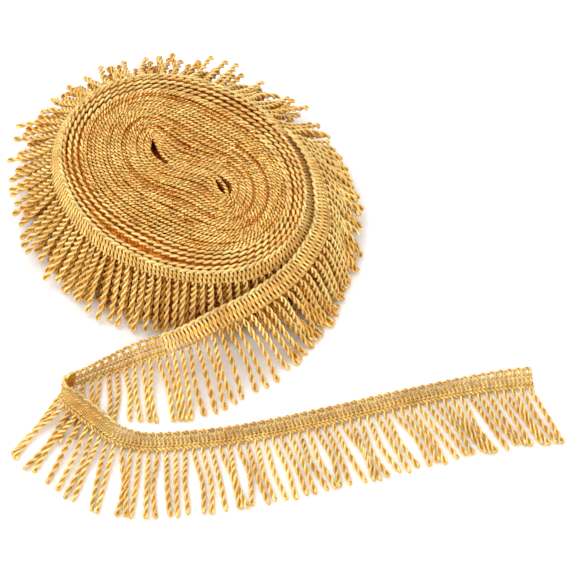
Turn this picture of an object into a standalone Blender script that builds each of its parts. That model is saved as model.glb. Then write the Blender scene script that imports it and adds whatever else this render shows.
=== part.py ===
"""Gold bullion fringe trim, wound heading up into an oval roll, with its loose end laid out.

The frame is +Z up, with the floor at z = 0 and the origin under the middle of the roll.
The heading is the woven band; the strands are the twisted cords that hang from its lower edge.
"""

import math
from collections import namedtuple

import bmesh
import bpy
from mathutils import Vector

MM = 0.001

# The trim
HEADING_WIDTH = 13.5 * MM
HEADING_THICKNESS = 1.8 * MM
STRAND_LENGTH = 45.0 * MM
STRAND_THICKNESS = 3.0 * MM
STRAND_PITCH = 5.3 * MM
STRIP_DEPTH = 1.6 * MM
STRIP_HEIGHT = 3.0 * MM
CLEARANCE = 0.35 * MM
SWAY = 1.5
UNEVEN = 1.6 * MM

# The roll: an oval of turns round a core folded into an S
ROLL_TOP = 58.0 * MM
ROLL_DISH = 2.5 * MM
OVAL_LONG = 84.5 * MM
OVAL_SHORT = 66.8 * MM
OVAL_WAY = math.radians(-45.0)
TURN_PITCH = 2.8 * MM
LEAVES_AT = math.radians(34.0)
LEAVES_OVER = math.radians(10.0)
CORE = [(-14.5, 25.0), (-14.0, 17.0), (-9.5, 9.5), (-1.5, 5.5), (7.5, 4.5),
        (16.5, 2.5), (23.0, -3.0), (26.5, -10.5), (25.0, -18.5)]
EYE_DEPTH = 22.0 * MM
EYE_REACH = 0.16
SEAM_DEPTH = 1.5 * MM
AROUND = 64
# Shares of the way out from the seam to the outermost turn
SEAM_WALL = 0.027
SEAM_RIM = 0.034
RIDGES_FROM = 0.05
LOOSE_FROM = 0.86
GROOVE_HALF = 0.012
GAP_HALF = 0.010
GAP_FLOOR_HALF = 0.004
TIGHT_RIDGES = 5
LOOSE_TURNS = 3
GROOVE_DEPTH = 1.3 * MM
GAP_DEPTH = 5.0 * MM
BODY_INSET = 2.4 * MM
BODY_FLARE = 7.5 * MM
HEM_HEIGHT = 2.0 * MM

# How the skirt of strands hangs, by direction from the roll's middle
Hang = namedtuple("Hang", "way lean droop sweep")
HANGS = [
    Hang(way=0, lean=42, droop=50, sweep=0),
    Hang(way=60, lean=32, droop=42, sweep=0),
    Hang(way=100, lean=34, droop=35, sweep=0),
    Hang(way=140, lean=32, droop=40, sweep=-4),
    Hang(way=180, lean=30, droop=48, sweep=-16),
    Hang(way=225, lean=24, droop=52, sweep=-4),
    Hang(way=250, lean=16, droop=58, sweep=0),
    Hang(way=270, lean=8, droop=64, sweep=2),
    Hang(way=285, lean=20, droop=72, sweep=4),
    Hang(way=310, lean=22, droop=74, sweep=4),
    Hang(way=330, lean=30, droop=62, sweep=0),
    Hang(way=360, lean=42, droop=50, sweep=0),
]
UPPER_SKIRT = (38.0, 296.0)
UNDER_SKIRT = (-36.0, 262.0)
STEEPEST = {"skirt_upper": math.radians(80.0), "skirt_under": math.radians(62.0)}
UNDER_DROP = 13.0 * MM
UNDER_LENGTH = 36.0 * MM
UNDER_PITCH = 9.6 * MM
SKIRT_BOW = 2.0 * MM
SKIRT_BENDS = (0.12, 0.5, 1.0)

# The loose end, station by station along the heading's lower edge (mm and degrees)
Station = namedtuple("Station", "x y z heading_way heading_lift strand_way strand_length tip_height")
LOOSE_END = [
    Station(67.5, 36.5, 44.5, heading_way=208, heading_lift=64, strand_way=14, strand_length=45, tip_height=16),
    Station(82.0, 13.0, 44.5, heading_way=190, heading_lift=60, strand_way=4, strand_length=45, tip_height=12),
    Station(88.5, -10.5, 43, heading_way=175, heading_lift=56, strand_way=-12, strand_length=45, tip_height=8),
    Station(90.0, -38.0, 41.5, heading_way=158, heading_lift=45, strand_way=-18, strand_length=45, tip_height=2),
    Station(80.0, -62.0, 40, heading_way=140, heading_lift=38, strand_way=-10, strand_length=45, tip_height=0),
    Station(66.0, -77.5, 36.5, heading_way=124, heading_lift=37, strand_way=-16, strand_length=45, tip_height=0),
    Station(46.5, -90.0, 31, heading_way=112, heading_lift=38, strand_way=-38, strand_length=45, tip_height=0),
    Station(27.5, -97.5, 25, heading_way=106, heading_lift=38, strand_way=-64, strand_length=45, tip_height=0),
    Station(3.0, -106.5, 16, heading_way=97, heading_lift=38, strand_way=-76, strand_length=45, tip_height=0),
    Station(-19.5, -108.0, 5, heading_way=91, heading_lift=28, strand_way=-83, strand_length=44, tip_height=0),
    Station(-38.5, -113.0, 0, heading_way=94, heading_lift=10, strand_way=-88, strand_length=36, tip_height=0),
    Station(-51.5, -117.5, 0, heading_way=101, heading_lift=14, strand_way=-91, strand_length=41, tip_height=0),
    Station(-62.0, -122.5, 1, heading_way=108, heading_lift=42, strand_way=-98, strand_length=41, tip_height=0),
    Station(-70.0, -129.5, 3.6, heading_way=70, heading_lift=80, strand_way=-124, strand_length=45, tip_height=0),
    Station(-70.0, -139.5, 4.2, heading_way=36, heading_lift=40, strand_way=-127, strand_length=45, tip_height=0),
    Station(-61.5, -148.5, 4.2, heading_way=38, heading_lift=20, strand_way=-121, strand_length=45, tip_height=0),
    Station(-52.5, -156.5, 3.8, heading_way=48, heading_lift=10, strand_way=-110, strand_length=46, tip_height=0),
    Station(-41.5, -164.5, 2.2, heading_way=64, heading_lift=6, strand_way=-100, strand_length=46, tip_height=0),
    Station(-26.0, -169.0, 0.2, heading_way=82, heading_lift=2, strand_way=-92, strand_length=46, tip_height=0),
    Station(-6.0, -169.2, 0, heading_way=92, heading_lift=0, strand_way=-86, strand_length=45, tip_height=0),
    Station(37.0, -164.0, 0, heading_way=97, heading_lift=0, strand_way=-75, strand_length=44, tip_height=0),
    Station(89.0, -152.0, 0, heading_way=100, heading_lift=0, strand_way=-67, strand_length=44, tip_height=0),
    Station(134.0, -140.0, 0, heading_way=100, heading_lift=0, strand_way=-60, strand_length=44, tip_height=0),
    Station(179.0, -130.0, 0, heading_way=100, heading_lift=0, strand_way=-59, strand_length=43, tip_height=0),
    Station(215.0, -125.0, 0, heading_way=98, heading_lift=0, strand_way=-64, strand_length=42, tip_height=0),
]
STEPS_PER_STATION = 3
# A loose strand's bends: the share of its reach, and the share of its drop to the floor
LOOSE_BENDS = [(0.15, 0.18), (0.6, 0.7), (1.0, 1.0)]
FRINGE_SPANS = {
    "loose_fringe_by_roll": (0.0, 8.0),
    "loose_fringe_front": (8.0, 11.8),
    "loose_fringe_turn": (12.9, 17.4),
    "loose_fringe_end": (17.4, 24.0),
}


def clear_scene():
    for item in list(bpy.data.objects):
        bpy.data.objects.remove(item, do_unlink=True)


def yarn(name, colour, roughness):
    """A plain satin yarn colour."""
    material = bpy.data.materials.new(name)
    material.use_nodes = True
    shader = material.node_tree.nodes["Principled BSDF"]
    shader.inputs["Base Color"].default_value = (*colour, 1.0)
    shader.inputs["Roughness"].default_value = roughness
    shader.inputs["Metallic"].default_value = 0.0
    return material


def level_way(degrees):
    return Vector((math.cos(math.radians(degrees)), math.sin(math.radians(degrees)), 0.0))


def catmull(rows, place):
    """Read a table of equal tuples at a fractional row, along a smooth curve through the rows."""
    last = len(rows) - 1
    index = min(int(place), last - 1)
    part = place - index
    before, start, end, after = (rows[max(0, min(last, index + k))] for k in (-1, 0, 1, 2))
    out = []
    for a, b, c, d in zip(before, start, end, after):
        out.append(0.5 * (2 * b + (c - a) * part + (2 * a - 5 * b + 4 * c - d) * part ** 2
                          + (3 * b - a - 3 * c + d) * part ** 3))
    return out


def hang_at(way):
    """The skirt's lean, droop and sweep in radians, at a direction in degrees."""
    way = way % 360.0
    for low, high in zip(HANGS, HANGS[1:]):
        if low.way <= way <= high.way:
            ease = smooth((way - low.way) / (high.way - low.way))
            return [math.radians(a + (b - a) * ease) for a, b in zip(low[1:], high[1:])]
    raise ValueError("no hang for this way")


def smooth(part):
    """0 below 0, 1 above 1 and an S-shaped rise between."""
    part = max(0.0, min(1.0, part))
    return part * part * (3.0 - 2.0 * part)


def oval(way):
    """The roll's outermost turn at a direction in radians.

    Its radius grows by one turn's pitch on the way round from where the loose end leaves.
    """
    local = way - OVAL_WAY
    radius = 1.0 / math.hypot(math.cos(local) / OVAL_LONG, math.sin(local) / OVAL_SHORT)
    behind = (LEAVES_AT - way) % (2.0 * math.pi)
    grown = behind / (2.0 * math.pi) * smooth((2.0 * math.pi - behind) / LEAVES_OVER)
    radius += TURN_PITCH * (grown - 0.5)
    return Vector((radius * math.cos(way), radius * math.sin(way), 0.0))


def oval_normal(way):
    tangent = oval(way + 0.01) - oval(way - 0.01)
    return Vector((tangent.y, -tangent.x, 0.0)).normalized()


def core_point(u):
    """The S-shaped seam, followed one way for u from 0 to 0.5 and back again to 1."""
    along = 0.5 - 0.5 * math.cos(2.0 * math.pi * u)
    x, y = catmull(CORE, along * (len(CORE) - 1))
    return Vector((x * MM, y * MM, 0.0))


def turn_point(t, u):
    """A point of the turn at t, 0 at the seam and 1 at the outermost turn."""
    way = OVAL_WAY + math.pi - 2.0 * math.pi * u
    return core_point(u).lerp(oval(way), t)


def seam_depth(u):
    """Deep at the two eyes, at the ends of the S, and shallow between them."""
    near_end = min(u, abs(u - 0.5), 1.0 - u)
    return SEAM_DEPTH + (EYE_DEPTH - SEAM_DEPTH) * smooth(1.0 - near_end / EYE_REACH)


def top_height(t):
    return ROLL_TOP - ROLL_DISH * t ** 3


def top_profile():
    """Rows of (t, drop below the top) from the seam's rim to the outermost turn."""
    rows = [(SEAM_RIM, 0.0)]
    tight = (LOOSE_FROM - RIDGES_FROM) / TIGHT_RIDGES
    for k in range(1, TIGHT_RIDGES + 1):
        t = RIDGES_FROM + k * tight
        rows += [(t - GROOVE_HALF, 0.0), (t, GROOVE_DEPTH), (t + GROOVE_HALF, 0.0)]
    loose = (1.0 - LOOSE_FROM) / LOOSE_TURNS
    for k in range(1, LOOSE_TURNS):
        t = LOOSE_FROM + k * loose
        rows += [(t - GAP_HALF, 0.0), (t - GAP_FLOOR_HALF, GAP_DEPTH)]
        rows += [(t + GAP_FLOOR_HALF, GAP_DEPTH), (t + GAP_HALF, 0.0)]
    rows.append((1.0, 0.0))
    return rows


def roll_rings():
    """The roll's closed rings of points, from the seam out over the top and down to the base."""
    rings = []
    places = [k / AROUND for k in range(AROUND)]
    for t in (0.0, SEAM_WALL):
        rings.append([turn_point(t, u) + Vector((0, 0, top_height(t) - seam_depth(u))) for u in places])
    for t, drop in top_profile():
        rings.append([turn_point(t, u) + Vector((0, 0, top_height(t) - drop)) for u in places])
    side = []
    for u in places:
        way = OVAL_WAY + math.pi - 2.0 * math.pi * u
        lean, _, _ = hang_at(math.degrees(way))
        out = oval_normal(way)
        edge = oval(way) + Vector((0, 0, top_height(1.0)))
        fall = out * math.sin(lean) - Vector((0, 0, math.cos(lean)))
        root = edge + fall * HEADING_WIDTH
        foot = Vector((root.x, root.y, 0.0))
        neck = root - out * BODY_INSET
        waist = neck - Vector((0, 0, UNDER_DROP + STRIP_HEIGHT + 2 * CLEARANCE))
        hem = foot + out * BODY_FLARE + Vector((0, 0, HEM_HEIGHT))
        side.append([root, neck, waist, hem, foot + out * (BODY_FLARE - HEM_HEIGHT)])
    for k in range(len(side[0])):
        rings.append([column[k] for column in side])
    return rings


def lofted(name, rings, material):
    """A closed solid through equal rings, whose first ring folds shut along the seam."""
    mesh = bmesh.new()
    rows, columns = len(rings), len(rings[0])
    bmesh.ops.create_grid(mesh, x_segments=columns, y_segments=rows - 1, size=1.0)
    mesh.verts.ensure_lookup_table()
    for k, vert in enumerate(mesh.verts):
        vert.co = rings[k // (columns + 1)][(k % (columns + 1)) % columns]
    bmesh.ops.remove_doubles(mesh, verts=mesh.verts, dist=0.00001)
    rim = [edge for edge in mesh.edges if edge.is_boundary]
    bmesh.ops.holes_fill(mesh, edges=rim, sides=0)
    return finished(name, mesh, material)


def finished(name, mesh, material):
    bmesh.ops.recalc_face_normals(mesh, faces=mesh.faces)
    data = bpy.data.meshes.new(name)
    mesh.to_mesh(data)
    mesh.free()
    data.materials.append(material)
    item = bpy.data.objects.new(name, data)
    bpy.context.scene.collection.objects.link(item)
    return item


def pushed_on(mesh, face, corners, capped=False):
    """Extrude one face to new corners, given in the order of the face's own corners."""
    old = list(face.verts)
    done = bmesh.ops.extrude_face_region(mesh, geom=[face], use_keep_orig=True)
    if not capped:
        bmesh.ops.delete(mesh, geom=[face], context="FACES_ONLY")
    fresh = next(g for g in done["geom"] if isinstance(g, bmesh.types.BMFace))
    mates = set(fresh.verts)
    ordered = []
    for vert, corner in zip(old, corners):
        mate = next(e.other_vert(vert) for e in vert.link_edges if e.other_vert(vert) in mates)
        mate.co = corner
        ordered.append(mate)
    return fresh, ordered


def swept_box(mesh, sections):
    """Extrude a four-cornered section along the list of sections; gives each one's corners."""
    ring = [mesh.verts.new(corner) for corner in sections[0]]
    face = bmesh.ops.contextual_create(mesh, geom=ring)["faces"][0]
    rings = [ring]
    for corners in sections[1:]:
        target = dict(zip(rings[-1], corners))
        old = list(face.verts)
        face, fresh = pushed_on(mesh, face, [target[vert] for vert in old], capped=len(rings) == 1)
        pairs = dict(zip(old, fresh))
        rings.append([pairs[vert] for vert in rings[-1]])
    return rings


def strand_rings(points, side):
    """Square rings along a strand; side is the level vector across it."""
    rings = []
    half = STRAND_THICKNESS / 2.0
    for k, point in enumerate(points):
        ahead = points[min(k + 1, len(points) - 1)] - points[max(k - 1, 0)]
        up = side.cross(ahead).normalized()
        if up.z < 0.0:
            up = -up
        across = side * half
        rise = up * half
        rings.append([point - across + rise, point + across + rise, point + across - rise,
                      point - across - rise])
    return rings


def fringe(name, roots, material):
    """Strands standing out from one narrow strip.

    A root is the point on the strip's back lower edge, the level ways out and along it, the level
    way across the strand, and the list of the strand's points.
    """
    mesh = bmesh.new()
    sections = []
    for point, out, along, _, _ in roots:
        for sign in (-0.5, 0.5):
            inner = point + along * (sign * STRAND_THICKNESS)
            outer = inner + out * STRIP_DEPTH
            lift = Vector((0, 0, STRIP_HEIGHT))
            sections.append([outer + lift, outer, inner, inner + lift])
    rings = swept_box(mesh, sections)
    for k, (_, _, _, across, points) in enumerate(roots):
        first, second = rings[2 * k], rings[2 * k + 1]
        face = mesh.faces.get([first[0], second[0], second[1], first[1]])
        corner_of = {first[0]: 0, second[0]: 1, second[1]: 2, first[1]: 3}
        for ring in strand_rings(points, across):
            order = [corner_of[vert] for vert in face.verts]
            face, fresh = pushed_on(mesh, face, [ring[c] for c in order])
            corner_of = dict(zip(fresh, order))
    return finished(name, mesh, material)


def even_places(curve, pitch, start, end, samples=600):
    """Parameters from start to end that space the curve's points evenly, about a pitch apart."""
    steps = [start + (end - start) * k / samples for k in range(samples + 1)]
    points = [curve(step) for step in steps]
    run = [0.0]
    for a, b in zip(points, points[1:]):
        run.append(run[-1] + (b - a).length)
    count = max(2, round(run[-1] / pitch))
    wanted = [(k + 0.5) * run[-1] / count for k in range(count)]
    places = []
    index = 0
    for goal in wanted:
        while run[index + 1] < goal:
            index += 1
        part = (goal - run[index]) / (run[index + 1] - run[index])
        places.append(steps[index] + (steps[index + 1] - steps[index]) * part)
    return places


def wobble(k, phase):
    """A fixed uneven number from -1 to 1 for strand k."""
    return math.sin(2.4 * k + phase) * 0.6 + math.sin(5.7 * k + 2.0 * phase) * 0.4


def skirt_root(way, drop):
    """Where the roll's skirt starts: the roll's surface just below its outermost heading."""
    lean, droop, sweep = hang_at(math.degrees(way))
    out = oval_normal(way)
    fall = out * math.sin(lean) - Vector((0, 0, math.cos(lean)))
    root = oval(way) + Vector((0, 0, top_height(1.0))) + fall * HEADING_WIDTH
    return root - Vector((0, 0, drop)) + out * (CLEARANCE - BODY_INSET), out, droop, sweep


def skirt(name, span, drop, length, pitch, material):
    """One layer of the skirt, from one direction round to another, in degrees."""
    start, end = (math.radians(way) for way in span)
    roots = []
    places = even_places(lambda w: skirt_root(w, drop)[0], pitch, start, end)
    for k, way in enumerate(places):
        point, out, droop, sweep = skirt_root(way, drop)
        along = Vector((-out.y, out.x, 0.0))
        point = point - Vector((0, 0, STRIP_HEIGHT + CLEARANCE))
        turned = level_way(math.degrees(math.atan2(out.y, out.x) + sweep) + SWAY * wobble(k, 1.0))
        steep = min(droop, STEEPEST[name]) + math.radians(SWAY * wobble(k, 2.0))
        begin = point + out * STRIP_DEPTH + Vector((0, 0, STRIP_HEIGHT / 2))
        room = (begin.z - STRAND_THICKNESS / 2) / math.sin(steep)
        reach = min(length + UNEVEN * wobble(k, 3.0), room)
        fall = turned * math.cos(steep) - Vector((0, 0, math.sin(steep)))
        points = []
        for part in SKIRT_BENDS:
            bow = Vector((0, 0, SKIRT_BOW * math.sin(math.pi * part)))
            points.append(begin + fall * (reach * part) + bow)
        across = Vector((-turned.y, turned.x, 0.0))
        roots.append((point, out, along, across, points))
    return fringe(name, roots, material)


def station_at(place):
    """The loose end at a fractional station: root, way up the heading, and the row itself."""
    station = Station(*catmull(LOOSE_END, place))
    root = Vector((station.x, station.y, max(0.0, station.z))) * MM
    lift = math.radians(max(0.0, station.heading_lift))
    up = level_way(station.heading_way) * math.cos(lift) + Vector((0, 0, math.sin(lift)))
    return root, up, station


def loose_heading(material):
    """The loose end's heading, one sheet that leans, folds over at the left and lies flat."""
    sections = []
    count = (len(LOOSE_END) - 1) * STEPS_PER_STATION
    for k in range(count + 1):
        place = k / STEPS_PER_STATION
        root, up, _ = station_at(place)
        ahead = station_at(min(place + 0.1, len(LOOSE_END) - 1))[0] - station_at(max(place - 0.1, 0))[0]
        ahead = (ahead - up * ahead.dot(up)).normalized()
        face = up.cross(ahead)
        half = face * (HEADING_THICKNESS / 2)
        base = root + Vector((0, 0, HEADING_THICKNESS / 2)) + up * CLEARANCE
        top = base + up * (HEADING_WIDTH - CLEARANCE)
        sections.append([base - half, base + half, top + half, top - half])
    mesh = bmesh.new()
    swept_box(mesh, sections)
    return finished("loose_heading", mesh, material)


def loose_fringe(name, span, material):
    """The strands of one stretch of the loose end, which fall to the floor and lie level on it."""
    roots = []
    places = even_places(lambda p: station_at(p)[0], STRAND_PITCH, *span)
    for k, place in enumerate(places):
        root, up, station = station_at(place)
        way = level_way(station.strand_way + SWAY * math.sin(1.3 * k))
        ahead = station_at(place + 0.05)[0] - station_at(place - 0.05)[0]
        ahead = Vector((ahead.x, ahead.y, 0.0)).normalized()
        out = Vector((ahead.y, -ahead.x, 0.0))
        if out.dot(way) < 0.0:
            out = -out
        gap = CLEARANCE + up.z * HEADING_THICKNESS / 2
        point = root + out * gap
        begin = point + out * STRIP_DEPTH + Vector((0, 0, STRIP_HEIGHT / 2))
        drop = max(0.0, begin.z - STRAND_THICKNESS / 2 - max(0.0, station.tip_height) * MM)
        length = station.strand_length * MM + UNEVEN * wobble(k, 3.0)
        level = math.sqrt(length ** 2 - drop ** 2)
        points = []
        for part, fallen in LOOSE_BENDS:
            points.append(begin + way * (level * part) - Vector((0, 0, drop * fallen)))
        across = Vector((-way.y, way.x, 0.0))
        across = across if across.dot(ahead) > 0.0 else -across
        roots.append((point, out, ahead, across, points))
    return fringe(name, roots, material)


def main():
    clear_scene()
    heading_yarn = yarn("heading_yarn", (0.83, 0.55, 0.20), 0.5)
    strand_yarn = yarn("strand_yarn", (0.80, 0.50, 0.17), 0.45)
    lofted("roll", roll_rings(), heading_yarn)
    loose_heading(heading_yarn)
    skirt("skirt_upper", UPPER_SKIRT, 0.0, STRAND_LENGTH, STRAND_PITCH, strand_yarn)
    skirt("skirt_under", UNDER_SKIRT, UNDER_DROP, UNDER_LENGTH, UNDER_PITCH, strand_yarn)
    for name, span in FRINGE_SPANS.items():
        loose_fringe(name, span, strand_yarn)


if __name__ == "__main__":
    main()
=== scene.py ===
"""Gold bullion fringe trim: the looks of its wound turns, braided heading and twisted strands.

The heading is a band of upright yarn ribs between a looped top edge and a roped lower edge.
Each strand is one yarn doubled back on itself and twisted, so its tip is a small round loop.
Every repeated form is modelled once, straight, and its copies are bent along guide lines: the
turns of the roll, the loose end's heading, or the way that a strand falls.
"""

from collections import namedtuple
from math import asin, atan2, cos, degrees, exp, hypot, pi, radians, sin

import bmesh
import bpy
import numpy as np
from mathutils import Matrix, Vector


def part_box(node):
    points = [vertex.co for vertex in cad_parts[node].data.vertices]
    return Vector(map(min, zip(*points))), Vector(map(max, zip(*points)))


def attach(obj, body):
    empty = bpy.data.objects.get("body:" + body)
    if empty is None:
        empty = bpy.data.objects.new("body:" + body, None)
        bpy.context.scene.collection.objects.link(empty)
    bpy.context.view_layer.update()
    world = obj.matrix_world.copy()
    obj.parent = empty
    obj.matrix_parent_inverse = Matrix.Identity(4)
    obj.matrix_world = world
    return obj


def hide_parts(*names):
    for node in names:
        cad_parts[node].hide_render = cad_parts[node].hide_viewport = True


bl_info = {
    "name": "Bullion fringe trim",
    "version": (1, 0, 0),
    "blender": (4, 5, 0),
    "location": "3D View > Sidebar > Fringe",
    "description": "Dresses a wound bullion fringe trim with yarn, rib by rib and strand by strand",
    "category": "Add Mesh",
}

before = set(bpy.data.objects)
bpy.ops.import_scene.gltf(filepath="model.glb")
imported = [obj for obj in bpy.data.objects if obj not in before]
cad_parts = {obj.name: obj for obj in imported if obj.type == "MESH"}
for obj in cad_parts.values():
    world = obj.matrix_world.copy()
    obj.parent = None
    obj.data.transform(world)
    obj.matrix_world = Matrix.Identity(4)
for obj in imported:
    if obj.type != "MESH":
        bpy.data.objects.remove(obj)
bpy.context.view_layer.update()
MM = 0.001
BODY = "root"
UP = np.array([0.0, 0.0, 1.0])
UP_WAY = Vector((0.0, 0.0, 1.0))

# ---- sizes of the roll and loose end
ROLL_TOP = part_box("roll")[1].z
ROLL_DISH = 2.5 * MM
OVAL_LONG = 84.5 * MM
OVAL_SHORT = 66.8 * MM
OVAL_WAY = radians(-45.0)
TURN_PITCH = 2.8 * MM
LEAVES_AT = radians(34.0)
LEAVES_OVER = radians(10.0)
CORE = [(-18.5, 24.5), (-18.6, 17.5), (-16.0, 10.5), (-10.5, 4.5), (-2.5, 0.8),
        (6.5, -1.2), (15.0, -3.5), (22.0, -7.8), (26.0, -14.0), (27.5, -21.0)]

# How the skirt of strands hangs, by direction from the roll's middle, in degrees
Hang = namedtuple("Hang", "way lean droop sweep")
HANGS = [Hang(*row) for row in (
    (0, 42, 50, 0),
    (60, 32, 42, 0),
    (100, 34, 35, 0),
    (140, 32, 40, -4),
    (180, 30, 48, -16),
    (225, 20, 58, -4),
    (250, 4, 63, 0),
    (270, -4, 64, 2),
    (285, 0, 72, 4),
    (310, 14, 74, 4),
    (330, 30, 62, 0),
    (360, 42, 50, 0),
)]

# The loose end, station by station along the heading's lower edge (mm and degrees)
Station = namedtuple("Station", "x y z heading_way heading_lift strand_way strand_length tip_height")
LOOSE_END = [Station(*row) for row in (
    (67.5, 36.5, 44.5, 208, 64, 14, 45, 16),
    (82.0, 13.0, 44.5, 190, 60, 4, 45, 12),
    (88.5, -10.5, 43, 175, 56, -12, 45, 8),
    (90.0, -38.0, 41.5, 158, 45, -18, 45, 2),
    (80.0, -62.0, 40, 140, 38, -10, 45, 0),
    (66.0, -77.5, 36.5, 124, 37, -16, 45, 0),
    (46.5, -90.0, 31, 112, 38, -38, 45, 0),
    (27.5, -97.5, 25, 106, 38, -64, 45, 0),
    (3.0, -106.5, 16, 97, 38, -76, 45, 0),
    (-19.5, -108.0, 5, 91, 44, -83, 44, 0),
    (-38.5, -113.0, 0, 94, 62, -88, 36, 0),
    (-51.5, -117.5, 0, 101, 80, -91, 41, 0),
    (-62.0, -122.5, 1, 108, 88, -98, 41, 0),
    (-70.0, -129.5, 3.6, 70, 80, -124, 45, 0),
    (-70.0, -139.5, 4.2, 36, 40, -127, 45, 0),
    (-61.5, -148.5, 4.2, 38, 20, -121, 45, 0),
    (-52.5, -156.5, 3.8, 48, 10, -110, 46, 0),
    (-41.5, -164.5, 2.2, 64, 6, -100, 46, 0),
    (-26.0, -169.0, 0.2, 82, 2, -92, 46, 0),
    (-6.0, -169.2, 0, 92, 0, -86, 45, 0),
    (37.0, -164.0, 0, 97, 0, -75, 44, 0),
    (89.0, -152.0, 0, 100, 0, -67, 44, 0),
    (134.0, -140.0, 0, 100, 0, -60, 44, 0),
    (179.0, -130.0, 0, 100, 8, -59, 43, 0),
    (215.0, -125.0, 0, 98, 38, -64, 42, 0),
)]
FOLD_SPAN = (12.6, 17.2)  # stations between which the heading shows its reverse
CLOSE_UNTIL = 8.5  # the heading's ribs stand close up to here, by the roll
OPEN_FROM = 9.1  # and its net is open from here on
CUT_END_FROM = 23.5  # and close again from here to the cut end
LOOSE_SPANS = {"by_roll": (0.0, 8.0), "front": (8.0, 12.4), "turn": (12.9, 17.4), "end": (17.4, 24.0)}
UNDER_SPAN = (0.0, 6.0)  # where the roll's own strands spread out under the loose end
UNDER_PITCH = 4.4 * MM
UNDER_DROP = 4.0 * MM

# ---- how the wound turns lie
# Turns are counted from the inner end outwards; a share is how far out a turn lies, 0 to 1.
Wind = namedtuple("Wind", "turn share")
WINDS = [Wind(*row) for row in (
    (0.20, 0.010), (0.50, 0.012), (0.75, 0.022), (1.25, 0.044), (19.28, 0.800), (22.28, 0.981))]
CORE_LENGTH = 69.0 * MM
Eye = namedtuple("Eye", "width length")
EYES = (Eye(1.7 * MM, 24.0 * MM), Eye(4.2 * MM, 21.0 * MM))
EYE_FADES = 5.0  # turns over which the bow round an eye dies away
EDGE_FROM = 18.28  # the turn from which the top edge is ribbed, not roped
MIDDLE_FROM = 12.28
GUIDE_STEP = 1.0 * MM
STEPS_PER_TURN = 240
STEPS_ROUND = 720
ROPE_DROP = 1.34 * MM  # from the top edge down to the middle of its rope
BAND_THICKNESS = 0.7 * MM
BAND_DROP = 1.0 * MM  # from the top edge down to the band of cloth
BAND_SECTION = 3.0 * MM
LOOSE_LIFT = 1.35 * MM  # from the loose end's stations up to the heading that lies on them
CHAIN_RISE = 0.7  # mm that the loose heading's chains stand out from its net

# ---- how the strands lie
SEEDS = {"turns": 11, "outer": 5, "loose_heading": 7, "skirts": 20, "loose_strands": 40, "under": 50}
STRAND_STEPS = 30
STRAND_MAKES = 6  # from well twisted to slack
SPLAY = 0.85 * MM  # how far the plies stand apart at a strand's root
ROOT_DEPTH = 1.6 * MM  # how far up in the heading a skirt's strand starts
SKIRT_FLOOR = 2.6 * MM  # height of a strand's middle where it lies on the floor
LOOSE_FLOOR = 2.3 * MM
LOOSE_ROOT = 2.35 * MM
LOOP_RADIUS = 1.25 * MM  # the small loop at a strand's tip, and its yarn
LOOP_YARN = 1.02 * MM
LOOP_BLEND = 2.0 * MM
BUNCH_PULL = radians(2.6)
SHADE_REACH = 20.0 * MM  # how far from its root a lower strand is in deeper shade
Layer = namedtuple("Layer", "pitch drop inset steeper uneven shade roundness")
LAYERS = {  # pitch, drop and inset in mm, slopes in degrees
    "skirt_top": Layer(5.3, 0.0, 0.0, 0, 5, 0.0, 1),
    "skirt_middle": Layer(3.8, 1.0, 4.0, 6, 7, 0.75, 1),
    "skirt_low": Layer(3.2, 2.0, 7.0, 12, 7, 0.95, 0),
}

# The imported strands: rings by share on top, then (height, inset from the oval) down the side, in mm
PACKED_TOPS = (0.0, 0.03, 0.07, 0.12, 0.20, 0.35, 0.50, 0.65, 0.78, 0.86, 0.92, 0.955)
PACKED_SIDES = ((46.0, 6.5), (34.0, 4.0), (20.0, -1.5), (8.0, -6.5), (1.0, -7.5))
PACKED_WAYS = 192
# Painted shade: the packed strands are painted lighter above this height and darker below it.
PACKED_TOP_FROM = 46.0 * MM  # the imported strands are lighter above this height, over this rise
PACKED_TOP_OVER = 8.0 * MM
BACK_INSET = 3.5  # mm, the least inset at the roll's back

# The two yarns: how finely their twist lines run, and the depths at which their colours change, from
# painted shade deep within to painted highlight where they stand out
Yarn = namedtuple("Yarn", "name twist_lines depths")
YARNS = {
    "heading_yarn": Yarn("heading_satin", (10.0, 2.0), (0.36, 0.55, 0.74, 0.95)),
    "strand_yarn": Yarn("strand_satin", (70.0, 2.0), (0.06, 0.30, 0.55, 0.86)),
}

# ---- the stage
Lamp = namedtuple("Lamp", "place size share")
LAMPS = {
    "key_light": Lamp(Vector((-0.45, 0.25, 1.3)), 0.9, 1.0),
    "fill_light": Lamp(Vector((-0.1, -1.4, 0.8)), 1.3, 0.95),
}
CAMERA_PLACE = (0.06544, -0.77763, 1.07775)
CAMERA_TILT = radians(34.0)
CAMERA_LENS = 128.97
FLOOR_HALF = 6.0


# ---- settings
class FringeSizes(bpy.types.PropertyGroup):
    """The sizes of the trim's yarns."""

    heading_width: bpy.props.FloatProperty(
        name="Heading width", description="From the roped lower edge to the top of the loops",
        default=13.5 * MM, min=0.005, max=0.05, unit="LENGTH")
    repeat: bpy.props.FloatProperty(
        name="Repeat", description="From one strand, and one loop of the heading, to the next",
        default=5.3 * MM, min=0.002, max=0.02, unit="LENGTH")
    strand_length: bpy.props.FloatProperty(
        name="Strand length", description="From the heading to the tip of a strand",
        default=45.0 * MM, min=0.02, max=0.2, unit="LENGTH")
    ply_radius: bpy.props.FloatProperty(
        name="Ply radius", description="Half the thickness of the yarn that a strand is twisted from",
        default=0.70 * MM, min=0.0002, max=0.004, unit="LENGTH")
    ply_offset: bpy.props.FloatProperty(
        name="Ply offset", description="From the middle of a strand to the middle of each ply",
        default=1.05 * MM, min=0.0002, max=0.004, unit="LENGTH")
    half_twist: bpy.props.FloatProperty(
        name="Half twist", description="Length of a strand over which its two plies change sides",
        default=6.1 * MM, min=0.001, max=0.03, unit="LENGTH")


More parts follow.
